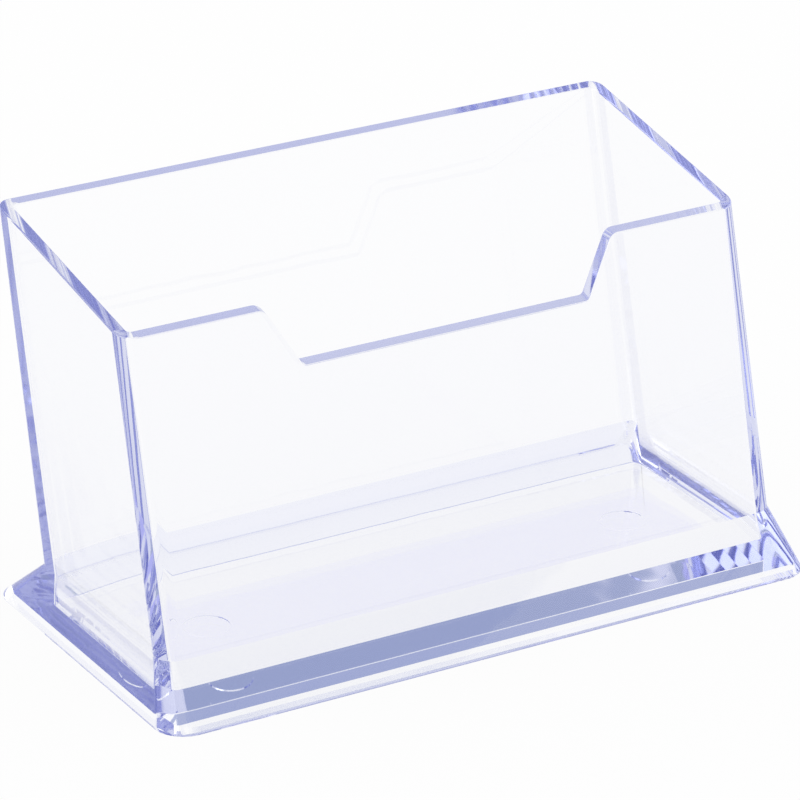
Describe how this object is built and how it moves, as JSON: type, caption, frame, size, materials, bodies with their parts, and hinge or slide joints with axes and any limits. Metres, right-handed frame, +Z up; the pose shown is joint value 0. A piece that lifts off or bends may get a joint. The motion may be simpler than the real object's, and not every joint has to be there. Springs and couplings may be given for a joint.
{
  "type": "business card holder stand",
  "caption": "Clear open-topped pocket that leans back on a flared foot, with a finger notch in its low front wall, for holding a stack of business cards on a desk.",
  "frame": {"origin": "middle of the foot's outline, on the table", "axes": "+X along the width, to the right as a visitor faces the notch; +Y from the notched front wall to the tall back wall; +Z up from the table"},
  "size_m": [0.1018, 0.054, 0.057],
  "materials": {
    "clear_plastic": "clear, polished"
  },
  "bodies": {
    "root": {"front_wall": "clear_plastic", "back_wall": "clear_plastic", "left_wall": "clear_plastic", "right_wall": "clear_plastic", "floor": "clear_plastic", "front_skirt": "clear_plastic", "back_skirt": "clear_plastic", "left_skirt": "clear_plastic", "right_skirt": "clear_plastic"}
  },
  "joints": []
}
